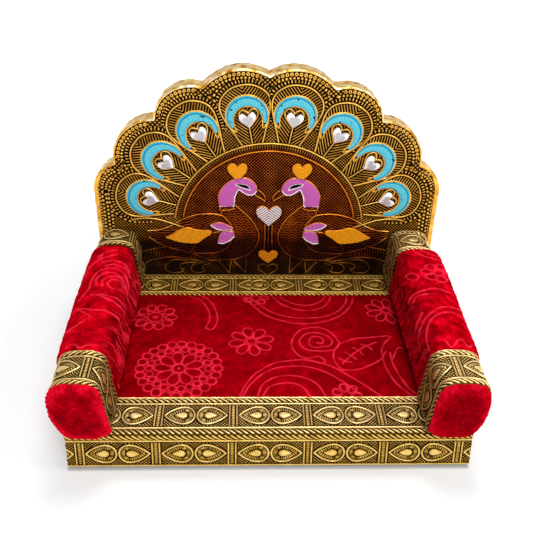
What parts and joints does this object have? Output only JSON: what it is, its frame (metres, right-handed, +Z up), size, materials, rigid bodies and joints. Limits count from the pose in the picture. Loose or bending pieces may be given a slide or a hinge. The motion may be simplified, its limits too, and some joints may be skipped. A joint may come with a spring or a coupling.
{
  "type": "deity simhasan throne",
  "caption": "Small household deity throne with a velvet seat and rolled arms, gold embossed strips and a scalloped fan back with peacock-feather relief.",
  "frame": {"origin": "on the table under the middle of the whole throne's box", "axes": "+X across the seat to its right as seen from the front, +Y from the front edge to the back board, +Z up"},
  "size_m": [0.2142, 0.1636, 0.16],
  "materials": {
    "wood_core": "bare fine-sawn board",
    "red_velvet": "embossed short-pile velvet",
    "embossed_strip": "antiqued gold foil, embossed, dark in the recesses",
    "embossed_foil": "antiqued gold foil, embossed, partly enamelled cyan, magenta and amber",
    "bright_foil": "bright crinkled gold foil",
    "rear_sheet": "matt dark sheet",
    "clear_stone": "polished faceted stone with a silvered back",
    "screw_steel": "zinc-plated"
  },
  "bodies": {
    "root": {"arm_screw_1": "screw_steel", "arm_screw_2": "screw_steel", "arm_screw_3": "screw_steel", "arm_screw_4": "screw_steel", "back_board": "wood_core", "back_edge_trim": "bright_foil", "back_foil_face": "embossed_foil", "back_rear_sheet": "rear_sheet", "back_screw_1": "screw_steel", "back_screw_2": "screw_steel", "back_screw_3": "screw_steel", "back_screw_4": "screw_steel", "back_screw_5": "screw_steel", "heart_stone_1": "clear_stone", "heart_stone_2": "clear_stone", "heart_stone_3": "clear_stone", "heart_stone_4": "clear_stone", "heart_stone_5": "clear_stone", "heart_stone_6": "clear_stone", "heart_stone_7": "clear_stone", "heart_stone_8": "clear_stone", "left_arm_core": "wood_core", "left_arm_front_cap": "red_velvet", "left_arm_front_strip": "embossed_strip", "left_arm_rear_strip": "embossed_strip", "left_arm_velvet": "red_velvet", "right_arm_core": "wood_core", "right_arm_front_cap": "red_velvet", "right_arm_front_strip": "embossed_strip", "right_arm_rear_strip": "embossed_strip", "right_arm_velvet": "red_velvet", "seat_board": "wood_core", "seat_front_strip": "embossed_strip", "seat_left_strip": "embossed_strip", "seat_pad": "red_velvet", "seat_right_strip": "embossed_strip", "seat_top_front_strip": "embossed_strip", "seat_top_rear_strip": "embossed_strip"}
  },
  "joints": []
}
